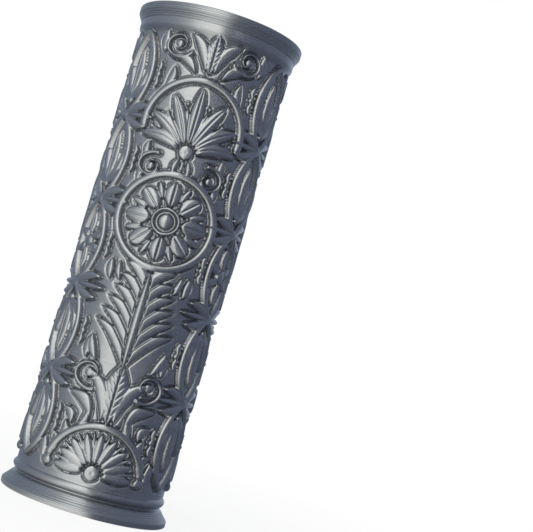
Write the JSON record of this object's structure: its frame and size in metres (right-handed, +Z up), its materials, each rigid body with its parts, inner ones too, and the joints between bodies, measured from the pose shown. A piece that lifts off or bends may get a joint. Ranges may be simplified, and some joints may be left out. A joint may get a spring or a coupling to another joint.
{
  "type": "clay texture roller",
  "caption": "Hollow hand roller for clay, with a raised all-over ornament on its barrel, a flared guide rim at each end and a bore right through.",
  "frame": {"origin": "middle of the lower end face, on the roller's axis, where the roller stands", "axes": "+Z up along the roller's axis and bore; the ornament's main column faces -Y"},
  "size_m": [0.0446, 0.0446, 0.13],
  "materials": {
    "barrel_plastic": "silk metallic printed plastic, dark slate grey, fine layer lines round the barrel",
    "rim_plastic": "silk metallic printed plastic, dark slate grey, clear layer rings"
  },
  "bodies": {
    "root": {"texture_barrel": "barrel_plastic", "lower_guide_rim": "rim_plastic", "upper_guide_rim": "rim_plastic"}
  },
  "joints": []
}
